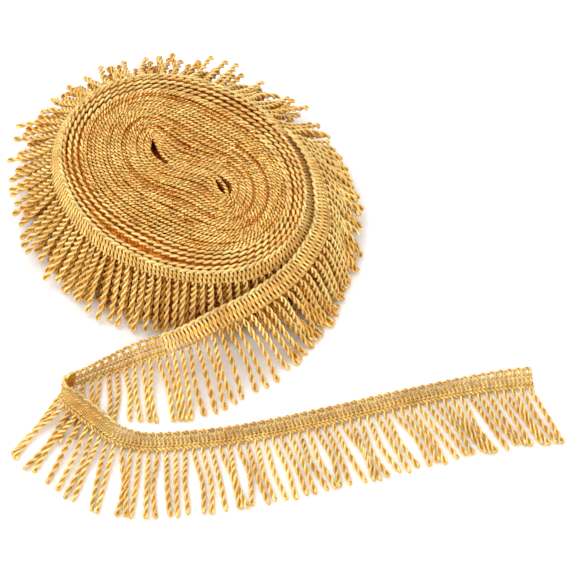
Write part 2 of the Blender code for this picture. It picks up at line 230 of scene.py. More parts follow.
class FringeColours(bpy.types.PropertyGroup):
    """The colours of the trim's yarns: its own gold, a pale painted highlight, and amber and red brown
    painted shade.
    """

    # Painted highlight: pale gold is painted where the yarn stands out most.
    pale: bpy.props.FloatVectorProperty(
        name="Pale gold", description="The yarn where it stands out most",
        subtype="COLOR", size=3, min=0.0, max=1.0, default=(0.97, 0.775, 0.34))
    gold: bpy.props.FloatVectorProperty(
        name="Gold", description="The yarn's own colour",
        subtype="COLOR", size=3, min=0.0, max=1.0, default=(0.87, 0.555, 0.125))
    # Painted shade: amber is painted deep between the plies; it is also mixed in at random for the yarn's
    # uneven tone.
    amber: bpy.props.FloatVectorProperty(
        name="Amber", description="The deeper colour between the plies",
        subtype="COLOR", size=3, min=0.0, max=1.0, default=(0.70, 0.285, 0.027))
    shadow: bpy.props.FloatVectorProperty(
        name="Shadow", description="The red brown deep between the yarns",
        subtype="COLOR", size=3, min=0.0, max=1.0, default=(0.46, 0.09, 0.004))


class FringeStage(bpy.types.PropertyGroup):
    """The floor, the lights and the camera."""

    floor: bpy.props.FloatVectorProperty(
        name="Floor", description="Colour of the floor", subtype="COLOR", size=3,
        min=0.0, max=1.0, default=(0.96, 0.96, 0.96))
    key: bpy.props.FloatProperty(
        name="Key light", description="Strength of the large light above", default=6.05,
        min=0.0, max=1000.0, unit="POWER")
    sky: bpy.props.FloatProperty(
        name="Surround", description="Strength of the even light all round", default=1.05,
        min=0.0, max=10.0)


# ---- small sums
def smooth(part):
    """0 below 0, 1 above 1 and an S-shaped rise between."""
    part = np.clip(part, 0.0, 1.0)
    return part * part * (3.0 - 2.0 * part)


def level_way(angle):
    """A level way, by its angle in degrees."""
    return Vector((cos(radians(angle)), sin(radians(angle)), 0.0))


def unit(rows):
    """Each row, made one long."""
    return rows / np.linalg.norm(rows, axis=-1, keepdims=True)


def catmull(rows, place):
    """Read a table of equal tuples at a fractional row, along a smooth curve through the rows."""
    last = len(rows) - 1
    index = min(int(place), last - 1)
    part = place - index
    before, start, end, after = (rows[max(0, min(last, index + k))] for k in (-1, 0, 1, 2))
    out = []
    for a, b, c, d in zip(before, start, end, after):
        out.append(0.5 * (2 * b + (c - a) * part + (2 * a - 5 * b + 4 * c - d) * part ** 2
                          + (3 * b - a - 3 * c + d) * part ** 3))
    return out


def run_along(points):
    """How far along a line of points each of them lies."""
    return np.concatenate([[0.0], np.cumsum(np.linalg.norm(np.diff(points, axis=0), axis=1))])


def slow_noise(count, reach, rng):
    """Numbers about -1 to 1 that change smoothly, over about reach entries each."""
    knots = rng.uniform(-1.0, 1.0, int(count / reach) + 3)
    return np.interp(np.arange(count) / reach, np.arange(len(knots)), knots)


# ---- the roll's own lines
def hang_at(way):
    """The skirt's lean, droop and sweep in radians, at a direction in degrees."""
    way = way % 360.0
    for low, high in zip(HANGS, HANGS[1:]):
        if low.way <= way <= high.way:
            ease = float(smooth((way - low.way) / (high.way - low.way)))
            return [radians(a + (b - a) * ease) for a, b in zip(low[1:], high[1:])]
    raise ValueError("no hang for this way")


def plain_oval(way, more=0.0):
    """A point of the roll's rim at a direction in radians, some way farther out if asked."""
    local = way - OVAL_WAY
    radius = 1.0 / hypot(cos(local) / OVAL_LONG, sin(local) / OVAL_SHORT) + more
    return Vector((radius * cos(way), radius * sin(way), 0.0))


def oval(way):
    """The roll's outermost turn at a direction in radians, a spiral's last turn."""
    behind = (LEAVES_AT - way) % (2.0 * pi)
    grown = behind / (2.0 * pi) * float(smooth((2.0 * pi - behind) / LEAVES_OVER))
    return plain_oval(way, TURN_PITCH * (grown - 0.5))


def oval_normal(way):
    """The level way out from the roll's rim."""
    tangent = oval(way + 0.01) - oval(way - 0.01)
    return Vector((tangent.y, -tangent.x, 0.0)).normalized()


def core_point(u):
    """The S-shaped seam, followed one way for u from 0 to 0.5 and back again to 1."""
    along = 0.5 - 0.5 * cos(2.0 * pi * u)
    x, y = catmull(CORE, along * (len(CORE) - 1))
    return Vector((x * MM, y * MM, 0.0))


def top_height(share):
    """The height of the top edge: the roll is a little higher in the middle."""
    return ROLL_TOP - ROLL_DISH * share ** 3


def wound_share(turn):
    """How far out the heading has come after a number of turns."""
    return float(np.interp(turn, *zip(*WINDS)))


def eye_push(turn):
    """How the turns bow apart near both ends of the seam, so that two narrow eyes stay open."""
    if turn < 0.5:
        return Vector()
    along = 0.5 - 0.5 * cos(2.0 * pi * turn)
    eye = EYES[int(along > 0.5)]
    part = min(1.0, min(along, 1.0 - along) * CORE_LENGTH / eye.length)
    ahead = core_point((turn + 0.002) % 1.0) - core_point((turn - 0.002) % 1.0)
    out = Vector((-ahead.y, ahead.x, 0.0)).normalized()
    return out * eye.width * sin(pi * part ** 0.8) ** 1.5 * exp((0.5 - turn) / EYE_FADES)


# ---- guides
Guide = namedtuple("Guide", "points rise out")


def guided(points, rises):
    """A guide with even steps, from points and the way that rises across the guide at each."""
    points, rises = np.array(points), np.array(rises)
    run = run_along(points)
    even = np.arange(0.0, run[-1], GUIDE_STEP)
    points, rises = (np.stack([np.interp(even, run, column) for column in rows.T], axis=1)
                     for rows in (points, rises))
    ahead = unit(np.gradient(points, axis=0))
    rises = unit(rises - ahead * (rises * ahead).sum(axis=1, keepdims=True))
    return Guide(points, rises, np.cross(ahead, rises))


def guide_length(guide):
    """How long a guide is."""
    return (len(guide.points) - 1) * GUIDE_STEP


def bent(points, guide, start=0.0, stretch=1.0, step=GUIDE_STEP):
    """Move points, straight along X, on to a guide: X goes along it, Y up its rise, Z outwards."""
    place = np.clip((start + points[:, 0] * stretch) / step, 0.0, len(guide.points) - 1.001)
    index = place.astype(int)
    part = (place - index)[:, None]

    def read(rows):
        return rows[index] * (1.0 - part) + rows[index + 1] * part

    return read(guide.points) + read(guide.rise) * points[:, 1:2] + read(guide.out) * points[:, 2:3]


def wound_guide(first, last):
    """The wound heading's top edge, from one turn out to another, with small unevenness."""
    steps = int((last - first) * STEPS_PER_TURN)
    turns = np.linspace(first, last, steps + 1)
    rng = np.random.default_rng(int(first * 10.0) + 3)
    fine, broad, bob, swell = (slow_noise(steps + 1, reach, rng) for reach in (9.0, 34.0, 12.0, 80.0))
    points, rises = [], []
    for k, turn in enumerate(turns):
        share = wound_share(turn)
        way = OVAL_WAY + pi - 2.0 * pi * turn
        out = Vector((cos(way), sin(way), 0.0))
        loose = float(smooth((share - 0.74) / 0.12))
        fading = float(smooth((last - turn) / 0.1)) if last == WINDS[-1].turn else 1.0
        drift = (0.25 * fine[k] + (0.3 + 0.5 * loose) * broad[k]) * MM * fading
        height = top_height(share) + (0.40 * bob[k] + 0.7 * swell[k]) * MM
        lean = hang_at(degrees(way))[0] * float(smooth((share - 0.55) / 0.45))
        level = core_point(turn % 1.0).lerp(plain_oval(way), share) + eye_push(turn)
        points.append(level + out * drift + UP_WAY * height)
        rises.append(UP_WAY * cos(lean) - out * sin(lean))
    return guided(points[::-1], rises[::-1])


def outer_guide():
    """The outermost turn's heading, along its lower edge, once round against the clock."""
    points, rises = [], []
    for k in range(STEPS_ROUND + 1):
        way = LEAVES_AT + 2.0 * pi * (k / STEPS_ROUND)
        lean, _, _ = hang_at(degrees(way))
        out = oval_normal(way)
        rise = UP_WAY * cos(lean) - out * sin(lean)
        points.append(oval(way) + UP_WAY * top_height(1.0) - rise * SIZES.heading_width)
        rises.append(rise)
    return guided(points, rises)


def station_at(place):
    """The loose end at a fractional station: root, way up the heading, and the row itself."""
    station = Station(*catmull(LOOSE_END, place))
    root = Vector((station.x, station.y, max(0.0, station.z))) * MM
    lift = radians(max(0.0, station.heading_lift))
    up = level_way(station.heading_way) * cos(lift) + UP_WAY * sin(lift)
    return root, up, station


def loose_guide():
    """The loose end's heading, along its lower edge, from its cut end back to the roll."""
    points, rises = [], []
    places = np.linspace(len(LOOSE_END) - 1.0, 0.0, 900)
    for place in places:
        root, up, _ = station_at(place)
        points.append(root + UP_WAY * LOOSE_LIFT)
        rises.append(up)
    guide = guided(points, rises)
    stations = np.interp(np.arange(len(guide.points)) * GUIDE_STEP, run_along(np.array(points)), places)
    return guide, stations


# ---- yarn forms
# rim: how far each point stands out, 0 deep within to 1; the materials paint shade and highlight by it.
Form = namedtuple("Form", "mesh points rim")


def yarn_mesh(paths, roundness=1):
    """Closed tubes of yarn along paths of (x, y, z, radius), each with its own length as UV."""
    curve = bpy.data.curves.new("yarn", "CURVE")
    curve.dimensions = "3D"
    curve.bevel_depth = 1.0
    curve.bevel_resolution = roundness
    curve.use_fill_caps = True
    for path in paths:
        spline = curve.splines.new("POLY")
        spline.points.add(len(path) - 1)
        for point, (x, y, z, radius) in zip(spline.points, path):
            point.co = (x, y, z, 1.0)
            point.radius = radius
    holder = placed("yarn", curve)
    made = bpy.data.meshes.new_from_object(holder.evaluated_get(bpy.context.evaluated_depsgraph_get()))
    bpy.data.objects.remove(holder)
    bpy.data.curves.remove(curve)
    mesh = bmesh.new()
    mesh.from_mesh(made)
    bmesh.ops.remove_doubles(mesh, verts=mesh.verts, dist=1e-6)
    bmesh.ops.recalc_face_normals(mesh, faces=mesh.faces)
    mesh.to_mesh(made)
    mesh.free()
    return made


def placed(name, data):
    """An object in the scene, with its data."""
    item = bpy.data.objects.new(name, data)
    bpy.context.scene.collection.objects.link(item)
    return item


def mesh_data(name, mesh):
    """Put a bmesh away as mesh data."""
    data = bpy.data.meshes.new(name)
    mesh.to_mesh(data)
    mesh.free()
    return data


def note_points(data, name, values):
    """Keep a number for each point, for the material to read."""
    data.attributes.new(name, "FLOAT", "POINT").data.foreach_set("value", values)


def points_of(mesh):
    """A mesh's points, as rows."""
    points = np.empty(len(mesh.vertices) * 3)
    mesh.vertices.foreach_get("co", points)
    return points.reshape(-1, 3)


def yarn_form(paths, rim_at, roundness=1):
    """A form of yarn tubes; rim_at gives how far each point stands out, 0 deep within to 1, which sets its
    painted shade and highlight.
    """
    mesh = yarn_mesh(paths, roundness)
    points = points_of(mesh)
    return Form(mesh, points, np.clip(rim_at(points), 0.0, 1.0))


def merged(name, meshes):
    """Several meshes as one."""
    whole = bmesh.new()
    for mesh in meshes:
        whole.from_mesh(mesh)
    return mesh_data(name, whole)


def combined(parts):
    """Several forms as one."""
    made = merged("form", [part.mesh for part in parts])
    return Form(made, points_of(made), np.concatenate([part.rim for part in parts]))


def strand_form(phase, splay_over, radius, offset, half, roundness):
    """A strand along X: one yarn that runs down, round a small loop at the tip and back up."""
    body = SIZES.strand_length - LOOP_RADIUS - LOOP_YARN

    def near_tip(along):
        return smooth(1.0 - (body - along) / LOOP_BLEND)

    def spread_at(along):
        widened = (SPLAY - offset) * smooth(1.0 - along / splay_over)
        return offset + widened + (LOOP_RADIUS - offset) * near_tip(along)

    def turn_at(along):
        return pi * (0.5 + along / half) + phase * float(smooth(along / (22.0 * MM)))

    down, back = [], []
    steps = int(body / half * 5.2)
    for k in range(steps + 1):
        along = body * k / steps
        spread, turn = float(spread_at(along)), turn_at(along)
        thickness = radius + (LOOP_YARN - radius) * float(near_tip(along))
        y, z = spread * cos(turn), spread * sin(turn)
        down.append((along, y, z, thickness))
        back.append((along, -y, -z, thickness))
    turn, loop = turn_at(body), []
    for k in range(1, 5):
        angle = pi * k / 5.0
        wide = LOOP_RADIUS * cos(angle)
        loop.append((body + LOOP_RADIUS * sin(angle), wide * cos(turn), wide * sin(turn), LOOP_YARN))
    # Painted shade between the plies, painted highlight outside: a point's rim is its distance from the
    # strand's middle.
    plies = yarn_form([down + loop + back[::-1]], lambda points: np.hypot(
        points[:, 1], points[:, 2]) / (spread_at(points[:, 0]) + radius), roundness)
    # The core is painted at one middling depth, between amber and gold, as painted shade in the valley
    # between the plies.
    core = yarn_form([[(body * (0.15 + 0.85 * k / 10), 0.0, 0.0, 0.6 * MM) for k in range(11)]],
                     lambda points: np.full(len(points), 0.42), roundness)
    return combined([plies, core])


def rope_form(radius, offset, steps, height, side=1.0, scallop=0.0):
    """A two-ply rope along X, one full twist long, that may rise and fall in a scallop."""
    length = SIZES.repeat

    def height_at(along):
        return height - scallop * (1.0 - np.abs(np.sin(pi * along / length)) ** 0.8)

    paths = []
    for start in (0.0, pi):
        path = []
        for k in range(steps + 1):
            along = length * k / steps
            turn = side * 2.0 * pi * along / length + start
            path.append((along, float(height_at(along)) + offset * cos(turn), offset * sin(turn), radius))
        paths.append(path)
    # Painted shade between the plies: a point's rim is its distance from the rope's middle, so the plies
    # are painted pale outside and darker where they meet.
    return yarn_form(paths, lambda points: np.hypot(
        points[:, 1] - height_at(points[:, 0]), points[:, 2]) / (offset + radius))


def arch_form(top, radius, drop):
    """The loop on the heading's top edge: an arch that crosses over the next one's foot."""
    path = []
    for k in range(8):
        part = k / 7.0
        rise = sin(pi * part) ** 0.7
        path.append((SIZES.repeat * (part * 1.24 - 0.12), top - radius - drop * (1.0 - rise),
                     radius * 0.8 * cos(pi * part), radius * (0.9 + 0.2 * rise)))
    # Painted light: the arch is painted paler where it stands out to front or back (large |Z|), and a
    # little darker between.
    return yarn_form([path], lambda points: 0.80 + 0.2 * np.abs(points[:, 2]) / radius)


Rib = namedtuple("Rib", "count radius flat slant gather")
RIBS = {  # the radius and how flat the rib is, its slant, and how far the two lean apart
    "hidden": Rib(2, 1.46 * MM, 0.64, 0.9 * MM, 0.0),
    "open": Rib(2, 0.70 * MM, 1.0, 0.3 * MM, 0.5),
    "dense": Rib(2, 0.95 * MM, 0.8, 0.3 * MM, 0.2),
    "back": Rib(8, 0.56 * MM, 1.0, 0.3 * MM, 0.0),
}


def rib_form(kind, foot=1.0 * MM):
    """One repeat of the heading's upright ribs, painted pale on both faces and in shade at their sides;
    gathered ones part in pairs.
    """
    rib, repeat, width = RIBS[kind], SIZES.repeat, SIZES.heading_width
    bottom, top = 1.0 * MM, width - 2.2 * MM
    parts = (0.0, 0.22, 0.44, 0.56, 0.80, 1.0)
    heights = sorted({max(foot, bottom + (top - bottom) * part) for part in parts})
    paths = []
    for k in range(rib.count):
        middle = repeat * (k + 0.5) / rib.count
        behind = 0.8 * MM if kind == "back" and k % 2 else 0.0
        path = []
        for height in heights:
            part = (height - bottom) / (top - bottom)
            outwards = (middle - repeat / 2.0) * rib.gather * float(smooth((part - 0.5) / 0.4))
            pinch = 1.0 - 0.14 * exp(-((part - 0.5) / 0.08) ** 2)
            path.append((middle + outwards + (part - 0.5) * rib.slant, height, behind, rib.radius * pinch))
        paths.append(path)
    if kind == "back":
        # Painted shade on the reverse: ribs are painted darker towards +Z, where the rows set behind lie,
        # and paler towards -Z.
        return yarn_form(paths, lambda points: np.maximum(0.6, 0.64 - 0.3 * points[:, 2] / rib.radius))
    form = yarn_form(paths, lambda points: 0.5 + 0.5 * np.abs(points[:, 2]) / rib.radius)
    return reshaped(form, form.points * (1.0, 1.0, rib.flat))


def crossed_rib_form():
    """One repeat of the closed heading: two ribs of two yarns that cross low down and high up."""
    repeat, foot, top = SIZES.repeat, 0.6 * MM, SIZES.heading_width - 1.8 * MM
    paths = []
    for k in range(2):
        middle = repeat * (k + 0.5) / 2.0
        for start in (0.0, pi):
            path = []
            for step in range(10):
                part = step / 9.0
                turn = 2.0 * pi * (part - 0.02) + start
                path.append((middle + 0.60 * MM * cos(turn) + (part - 0.5) * MM,
                             foot + (top - foot) * part, 0.42 * MM * sin(turn), 0.78 * MM))
            paths.append(path)
    # Painted light: paler on both faces, painted shade at the sides where the yarns meet, and deeper
    # painted shade on the face at -Z, the inner one on the roll.
    return yarn_form(paths, lambda points: (
        0.44 + 0.62 * np.abs(points[:, 2]) / (1.2 * MM)) * np.where(points[:, 2] < -0.2 * MM, 0.6, 1.0))


def reshaped(form, points):
    """The same form with its points moved."""
    form.mesh.vertices.foreach_set("co", points.ravel())
    return form._replace(points=points)


def lit_from_above(form):
    """The same form, for a top edge seen from above: its sides are in deeper shade."""
    high = smooth((form.points[:, 1] + 2.1 * MM) / (1.7 * MM))
    return form._replace(rim=form.rim * (0.30 + 0.70 * high))


def deepened(form, amount):
    """The same form, in deeper shade near its root."""
    near_root = 1.0 - smooth(form.points[:, 0] / SHADE_REACH)
    return form._replace(rim=form.rim * (1.0 - amount * near_root) * (1.0 - 0.45 * amount))


def heading_form(kind):
    """One repeat of the heading, along X, with its lower edge at Y = 0: its net, then its chains."""
    width = SIZES.heading_width
    net = [crossed_rib_form() if kind == "full" else rib_form(kind)]
    if kind in ("open", "dense"):
        net.append(rope_form(0.66 * MM, 0.54 * MM, 6, width - 1.1 * MM, scallop=1.1 * MM))
        net.append(rope_form(0.50 * MM, 0.42 * MM, 5, 5.9 * MM))
    else:
        net.append(arch_form(width, 0.86 * MM, 1.5 * MM))
    if kind == "full":
        return combined(net), rope_form(0.45 * MM, 0.36 * MM, 5, 0.9 * MM)
    chains = [rope_form(0.78 * MM, 0.55 * MM, 6, 1.1 * MM),
              rope_form(0.58 * MM, 0.46 * MM, 5, 3.3 * MM, side=-1.0),
              rope_form(0.55 * MM, 0.46 * MM, 5, 8.6 * MM, side=-1.0)]
    return combined(net), combined(chains)


# ---- finished pieces
Copy = namedtuple("Copy", "form points shade")


def joined(name, copies, slot_name):
    """One piece from many bent copies of small forms."""
    data = merged(name, [copy.form.mesh for copy in copies])
    data.vertices.foreach_set("co", np.concatenate([copy.points for copy in copies]).ravel())
    note_points(data, "shade", np.concatenate([np.full(len(copy.points), copy.shade) for copy in copies]))
    # The rim sets each point's painted shade and highlight.
    note_points(data, "rim", np.concatenate([copy.form.rim for copy in copies]))
    return finished(name, data, yarn_material(YARNS[slot_name]))


def finished(name, data, material):
    """A piece from its mesh, on its body and in its slot."""
    data.materials.append(material)
    data.update()
    data.shade_smooth()
    item = placed(name, data)
    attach(item, BODY)
    return item


# ---- materials
def painted(name):
    """A new material, and its tree of nodes."""
    material = bpy.data.materials.new(name)
    material.use_nodes = True
    return material, material.node_tree


def feed(tree, place, value):
    """Link a socket to an input, or set the input to a value."""
    if isinstance(value, bpy.types.NodeSocket):
        tree.links.new(value, place)
    else:
        place.default_value = value


def fed(tree, node, **inputs):
    """A node's outputs, once its inputs are fed by name."""
    for name, value in inputs.items():
        feed(tree, node.inputs[name.replace("_", " ")], value)
    return node.outputs


def added(tree, kind, **inputs):
    """The outputs of a new node."""
    return fed(tree, tree.nodes.new("ShaderNode" + kind), **inputs)


def reckoned(tree, *values, operation="MULTIPLY_ADD"):
    """What comes out of a sum: the first value x the second + the third, unless told otherwise."""
    node = tree.nodes.new("ShaderNodeMath")
    node.operation = operation
    for place, value in zip(node.inputs, values):
        feed(tree, place, value)
    return node.outputs["Value"]


def point_value(tree, name):
    """A number kept for each point."""
    node = tree.nodes.new("ShaderNodeAttribute")
    node.attribute_name = name
    return node.outputs["Fac"]


def noise(tree, coordinates, scale, low, high):
    """Soft noise on the object's own coordinates, spread between two values."""
    soft = added(tree, "TexNoise", Vector=coordinates["Object"], Scale=scale, Detail=2.0)["Fac"]
    spread = added(tree, "MapRange", Value=soft, From_Min=0.35, From_Max=0.65, To_Min=low, To_Max=high)
    return spread["Result"]


def ramped(tree, value, stops):
    """A colour for a value, by stops of (place, colour) in order."""
    node = tree.nodes.new("ShaderNodeValToRGB")
    bar = node.color_ramp.elements
    for element, (place, colour) in zip((bar[0], bar[1]), (stops[0], stops[-1])):
        element.position, element.color = place, (*colour, 1.0)
    for place, colour in stops[1:-1]:
        bar.new(place).color = (*colour, 1.0)
    return fed(tree, node, Fac=value)["Color"]


def yarn_material(yarn):
    """Satin yarn: a pale painted highlight where it stands out, amber and red brown painted shade deep
    between, fine twist lines.
    """
    if yarn.name in bpy.data.materials:
        return bpy.data.materials[yarn.name]
    material, tree = painted(yarn.name)
    shade = point_value(tree, "shade")
    colours = (COLOURS.shadow, COLOURS.amber, COLOURS.gold, COLOURS.pale)
    # Painted shade and highlight: the colour follows each point's rim, red brown and amber deep within,
    # pale gold where it stands out.
    by_depth = ramped(tree, point_value(tree, "rim"), list(zip(yarn.depths, colours)))
    coordinates = added(tree, "TexCoord")
    patches = noise(tree, coordinates, 55.0, 0.02, 0.36)
    deeper = added(tree, "MixRGB", Fac=reckoned(tree, shade, -0.12, patches),
                   Color1=by_depth, Color2=(*COLOURS.amber, 1.0))["Color"]
    along = added(tree, "Mapping", Vector=coordinates["UV"], Scale=(*yarn.twist_lines, 1.0))["Vector"]
    wave = tree.nodes.new("ShaderNodeTexWave")
    wave.wave_type, wave.bands_direction = "BANDS", "DIAGONAL"
    lines = fed(tree, wave, Vector=along, Scale=1.0, Distortion=0.6, Detail=1.0)["Fac"]
    lined = reckoned(tree, lines, 0.16, noise(tree, coordinates, 240.0, 0.80, 1.10))
    lined = reckoned(tree, shade, 0.07, lined)
    fed(tree, tree.nodes["Principled BSDF"],
        Base_Color=added(tree, "HueSaturation", Color=deeper, Value=lined)["Color"],
        Normal=added(tree, "Bump", Height=lines, Strength=0.8, Distance=0.2 * MM)["Normal"],
        Roughness=0.42, Metallic=0.35, Specular_IOR_Level=0.12, Specular_Tint=(1.0, 0.80, 0.40, 1.0),
        Sheen_Weight=0.1, Sheen_Roughness=0.35, Sheen_Tint=(1.0, 0.74, 0.32, 1.0))
    return material


def matt(tree, value, stops, bump):
    """Matt yarn whose colour, by stops, and height follow one value."""
    fed(tree, tree.nodes["Principled BSDF"], Base_Color=ramped(tree, value, stops),
        Normal=added(tree, "Bump", Height=value, Distance=bump)["Normal"],
        Roughness=0.6, Specular_IOR_Level=0.1)


def ribbed_material(name):
    """The heading's face where it stands in shade: ribs in amber and red brown."""
    material, tree = painted(name)
    turned = reckoned(tree, point_value(tree, "along"), 4.0 * pi / SIZES.repeat, operation="MULTIPLY")
    wave = reckoned(tree, turned, operation="SINE")
    matt(tree, wave, [(0.0, COLOURS.shadow), (1.0, COLOURS.amber)], 0.5 * MM)
    return material


def packed_material(name):
    """Yarn ends close together, painted in amber and red brown shade with speckles of uneven tone; the pit
    of an eye is darkest, painted shadow.
    """
    material, tree = painted(name)
    speckle = noise(tree, added(tree, "TexCoord"), 420.0, -0.30, 0.30)
    # Painted shadow: the pit colour is the shadow colour at a quarter strength.
    pit = [part * 0.25 for part in COLOURS.shadow]
    stops = [(0.0, pit), (0.35, COLOURS.shadow), (0.62, COLOURS.amber), (1.0, COLOURS.gold)]
    matt(tree, reckoned(tree, point_value(tree, "rim"), 1.0, speckle), stops, 0.4 * MM)
    return material


# ---- operators
class FRINGE_OT_turns(bpy.types.Operator):
    """Wind the heading: the top edge of every inner turn, roped where tight and ribbed where loose."""

    bl_idname = "fringe.turns"
    bl_label = "Wound turns"

    def execute(self, context):
        rng = np.random.default_rng(SEEDS["turns"])
        repeat = SIZES.repeat
        rope = rope_form(0.75 * MM, 0.70 * MM, 7, -ROPE_DROP, side=-1.0, scallop=0.4 * MM)
        rope = lit_from_above(rope)
        edge = lit_from_above(combined([arch_form(0.0, 0.90 * MM, 1.3 * MM), edge_ribs()]))
        spans = {"wound_core": (WINDS[0].turn, MIDDLE_FROM, rope),
                 "wound_middle": (MIDDLE_FROM, EDGE_FROM, rope),
                 "wound_outer": (EDGE_FROM, WINDS[-1].turn, edge)}
        for name, (first, last, form) in spans.items():
            guide = wound_guide(first, last)
            count = int(guide_length(guide) / repeat)
            stretch = guide_length(guide) / (count * repeat)
            copies = []
            for k in range(count):
                moved = form.points.copy()
                if form is rope:
                    moved[:, 1] += ROPE_DROP
                    moved = spun(moved, rng.uniform(-0.8, 0.8))
                    moved[:, 1:] *= rng.uniform(0.86, 1.12)
                    moved[:, 1] -= ROPE_DROP
                moved = bent(moved, guide, k * repeat * stretch, stretch)
                copies.append(Copy(form, moved, rng.uniform(-1.0, 1.0)))
            joined(name, copies, "heading_yarn")
        return {"FINISHED"}


def edge_ribs():
    """The tops of two ribs, for turns whose lower part is out of sight."""
    ribs = rib_form("hidden", foot=5.5 * MM)
    return reshaped(ribs, ribs.points - (0.0, SIZES.heading_width, 0.0))


class FRINGE_OT_band(bpy.types.Operator):
    """Wind the band of cloth that stands below the top edges."""

    bl_idname = "fringe.band"
    bl_label = "Wound band"

    def execute(self, context):
        guide = wound_guide(WINDS[0].turn, WINDS[-1].turn)
        length = guide_length(guide)
        sections = int(length / BAND_SECTION)
        mesh = bmesh.new()
        bmesh.ops.create_cube(mesh, size=1.0)
        ends = [edge for edge in mesh.edges if abs(edge.verts[0].co.x - edge.verts[1].co.x) > 0.5]
        bmesh.ops.subdivide_edges(mesh, edges=ends, cuts=sections, use_grid_fill=False)
        data = mesh_data("wound_band", mesh)
        flat = points_of(data) + (0.5, -0.5, 0.0)
        flat = flat * (length, SIZES.heading_width - BAND_DROP, BAND_THICKNESS)
        flat[:, 1] -= BAND_DROP
        data.vertices.foreach_set("co", bent(flat, guide).ravel())
        note_points(data, "along", flat[:, 0])
        band = finished("wound_band", data, ribbed_material("band_cloth"))
        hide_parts("roll")
        return {"FINISHED"}


class FRINGE_OT_outer(bpy.types.Operator):
    """Dress the outermost turn, whose ribbed face shows all round under the top edge."""

    bl_idname = "fringe.outer"
    bl_label = "Outermost turn"

    def execute(self, context):
        rng = np.random.default_rng(SEEDS["outer"])
        guide = outer_guide()
        dress_heading("outer_turn", guide, lambda along: "full", lambda along: 0.0, rng)
        return {"FINISHED"}


def dress_heading(name, guide, kind_at, raised_at, rng):
    """Net and chains along a guide, of the kind asked for at each place; the chains are raised."""
    forms = {kind: heading_form(kind) for kind in ("full", "open", "dense", "back")}
    repeat = SIZES.repeat
    count = round(guide_length(guide) / repeat)
    stretch = guide_length(guide) / (count * repeat)
    made = []
    for part, label in enumerate(("net", "chains")):
        copies = []
        for k in range(count):
            start = k * repeat * stretch
            form = forms[kind_at(start)][part]
            points = form.points + (0.0, 0.0, raised_at(start) * part)
            copies.append(Copy(form, bent(points, guide, start, stretch), rng.uniform(-1, 1)))
        made.append(joined(f"{name}_{label}", copies, "heading_yarn"))
    return made


class FRINGE_OT_loose_heading(bpy.types.Operator):
    """Lay the loose end's open heading, folded over at the left."""

    bl_idname = "fringe.loose_heading"
    bl_label = "Loose heading"

    def execute(self, context):
        rng = np.random.default_rng(SEEDS["loose_heading"])
        guide, stations = loose_guide()

        def place_at(along):
            return stations[min(len(stations) - 1, int(along / GUIDE_STEP))]

        def kind_at(along):
            place = place_at(along)
            if FOLD_SPAN[0] < place < FOLD_SPAN[1]:
                return "back"
            if place < CLOSE_UNTIL:
                return "full"
            return "dense" if place < OPEN_FROM or place > CUT_END_FROM else "open"

        def raised_at(along):
            return (CHAIN_RISE if place_at(along) < FOLD_SPAN[0] else -CHAIN_RISE) * MM

        net, chains = dress_heading("loose_heading", guide, kind_at, raised_at, rng)
        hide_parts("loose_heading")
        return {"FINISHED"}


def strand_forms(splay_over, slack_from, slack_to, roundness=1):
    """A few strands of one make, from well twisted to slack, each starting its twist farther on."""
    forms = []
    for k in range(STRAND_MAKES):
        slack = slack_from + (slack_to - slack_from) * (k / (STRAND_MAKES - 1.0)) ** 1.4
        half = SIZES.half_twist * (0.96 + 0.6 * (slack - 1.0))
        forms.append(strand_form(0.9 * k, splay_over, SIZES.ply_radius * (0.6 + 0.4 * slack),
                                 SIZES.ply_offset * slack, half, roundness))
    return forms


def strand_guide(root, way, pitches, drifts, length, floor):
    """The way a strand falls: pitches and drifts are its angles down and aside, root to tip."""
    step = length / STRAND_STEPS
    parts = (np.arange(STRAND_STEPS) + 0.5) / STRAND_STEPS
    knots = np.linspace(0.0, 1.0, len(pitches))
    points = [np.array(root, float)]
    for fall, drift in zip(np.interp(parts, knots, pitches), np.interp(parts, knots, drifts)):
        level = way + drift
        room = points[-1][2] - floor
        if sin(fall) * step > room * 0.5:
            fall = asin(max(0.0, min(1.0, room * 0.5 / step)))
        ahead = np.array([cos(level) * cos(fall), sin(level) * cos(fall), -sin(fall)])
        points.append(points[-1] + ahead * step)
    points = np.array(points)
    ahead = unit(np.gradient(points, axis=0))
    side = unit(np.cross(ahead, UP))
    return Guide(points, side, np.cross(ahead, side)), step


def spun(points, angle):
    """Turn a form about its own length."""
    c, s = cos(angle), sin(angle)
    y, z = points[:, 1], points[:, 2]
    return np.stack([points[:, 0], y * c - z * s, y * s + z * c], axis=1)


def bunches(count, rng):
    """Split a row of strands into bunches; gives each strand's step to its bunch's middle."""
    pulls = np.zeros(count)
    start = 0
    while start < count:
        size = min(int(rng.choice([1, 2, 3, 4], p=[0.25, 0.35, 0.25, 0.15])), count - start)
        middle = start + (size - 1) / 2.0
        for k in range(start, start + size):
            pulls[k] = middle - k
        start += size
    return pulls


def even_places(pitch, start, end):
    """Stations that space strands evenly along the loose end, about a pitch apart."""
    steps = np.linspace(start, end, STEPS_ROUND + 1)
    run = run_along(np.array([station_at(step)[0] for step in steps]))
    count = round(run[-1] / pitch)
    return np.interp((np.arange(count) + 0.5) * run[-1] / count, run, steps)


def laid(forms, rng, *fall):
    """One strand, of a form picked by chance, laid the way it falls."""
    guide, step = strand_guide(*fall)
    form = forms[int(rng.integers(0, len(forms)))]
    stretch = step * STRAND_STEPS / SIZES.strand_length
    return Copy(form, bent(form.points, guide, 0.0, stretch, step), rng.uniform(-1, 1))


def back_share(way):
    """1 at the roll's back, where every strand flies out, falling to 0 at its sides."""
    return float(smooth((sin(way) - 0.2) / 0.5))


